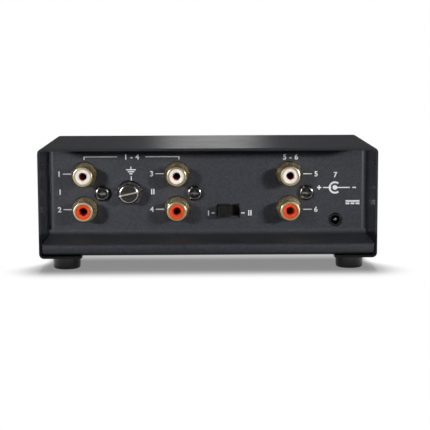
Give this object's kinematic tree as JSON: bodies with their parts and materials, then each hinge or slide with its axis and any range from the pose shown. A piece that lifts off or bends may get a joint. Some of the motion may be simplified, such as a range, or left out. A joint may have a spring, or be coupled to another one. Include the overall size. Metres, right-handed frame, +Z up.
{
  "type": "phono preamp",
  "caption": "Compact black phono preamp in a folded steel sleeve, with stacked phono jacks, a slide switch, a ground screw and a power inlet on a deeply recessed panel.",
  "frame": {"origin": "on the surface the feet stand on, under the middle of the case", "axes": "+X to the right of someone facing the connectors, +Y from the connector side to the front, +Z up; the connector side faces -Y"},
  "size_m": [0.135, 0.072, 0.049],
  "materials": {
    "cover_paint": "satin",
    "panel_paint": "satin",
    "foot_rubber": "satin",
    "gold_plate": "polished",
    "contact_brass": "satin",
    "white_insulator": "gloss",
    "red_insulator": "gloss",
    "nickel": "polished",
    "black_screw": "polished",
    "zinc_steel": "satin",
    "tinned_metal": "satin",
    "dark_steel": "satin",
    "black_plastic": "matte",
    "phenolic": "matte",
    "board_green": "satin",
    "green_wire": "gloss",
    "film_red": "gloss",
    "can_sleeve": "gloss",
    "resistor_blue": "satin",
    "lamp_lens": "gloss"
  },
  "bodies": {
    "case": {"top_cover": "cover_paint", "chassis_tray": "panel_paint", "front_panel": "panel_paint", "front_panel_screws": "zinc_steel", "circuit_board": "board_green", "board_standoffs": "zinc_steel", "board_screws": "zinc_steel", "foot_rear_left": "foot_rubber", "foot_rear_right": "foot_rubber", "foot_front_left": "foot_rubber", "foot_front_right": "foot_rubber", "foot_screws": "zinc_steel", "foot_nuts": "zinc_steel", "jack_screws": "black_screw", "ground_bush": "nickel", "ground_lug": "tinned_metal", "ground_nut": "nickel", "ground_wire": "green_wire", "switch_frame": "dark_steel", "switch_base": "phenolic", "switch_terminals": "tinned_metal", "power_inlet_body": "black_plastic", "power_inlet_pin": "nickel", "power_inlet_spring": "tinned_metal", "power_lamp": "lamp_lens", "lamp_holder": "black_plastic", "amplifiers": "black_plastic", "film_capacitors": "film_red", "stage_capacitors": "can_sleeve", "supply_capacitors": "can_sleeve", "resistors": "resistor_blue", "regulator": "black_plastic", "mc_jack_block": "black_plastic", "mc_left_shell": "gold_plate", "mc_left_insulator": "white_insulator", "mc_left_contact": "contact_brass", "mc_right_shell": "gold_plate", "mc_right_insulator": "red_insulator", "mc_right_contact": "contact_brass", "mm_jack_block": "black_plastic", "mm_left_shell": "gold_plate", "mm_left_insulator": "white_insulator", "mm_left_contact": "contact_brass", "mm_right_shell": "gold_plate", "mm_right_insulator": "red_insulator", "mm_right_contact": "contact_brass", "output_jack_block": "black_plastic", "output_left_shell": "gold_plate", "output_left_insulator": "white_insulator", "output_left_contact": "contact_brass", "output_right_shell": "gold_plate", "output_right_insulator": "red_insulator", "output_right_contact": "contact_brass"},
    "switch": {"switch_slider": "black_plastic", "switch_wipers": "tinned_metal"},
    "ground_collar": {"ground_washer": "nickel"},
    "ground_screw": {"ground_screw": "nickel"}
  },
  "joints": [
    {"name": "switch_slide", "type": "slide", "parent": "case", "child": "switch", "axis": [1, 0, 0], "range_m": [0, 0.0036]},
    {"name": "ground_screw_travel", "type": "slide", "parent": "case", "child": "ground_collar", "axis": [0, -1, 0], "range_m": [0, 0.0028]},
    {"name": "ground_screw_turn", "type": "hinge", "parent": "ground_collar", "child": "ground_screw", "pos_m": [-0.0326, -0.014, 0.0286], "axis": [0, -1, 0], "range_deg": [0, 1440]}
  ],
  "couplings": [
    {"joint": "ground_screw_turn", "follows": "ground_screw_travel", "rad_per_m": 8976}
  ]
}
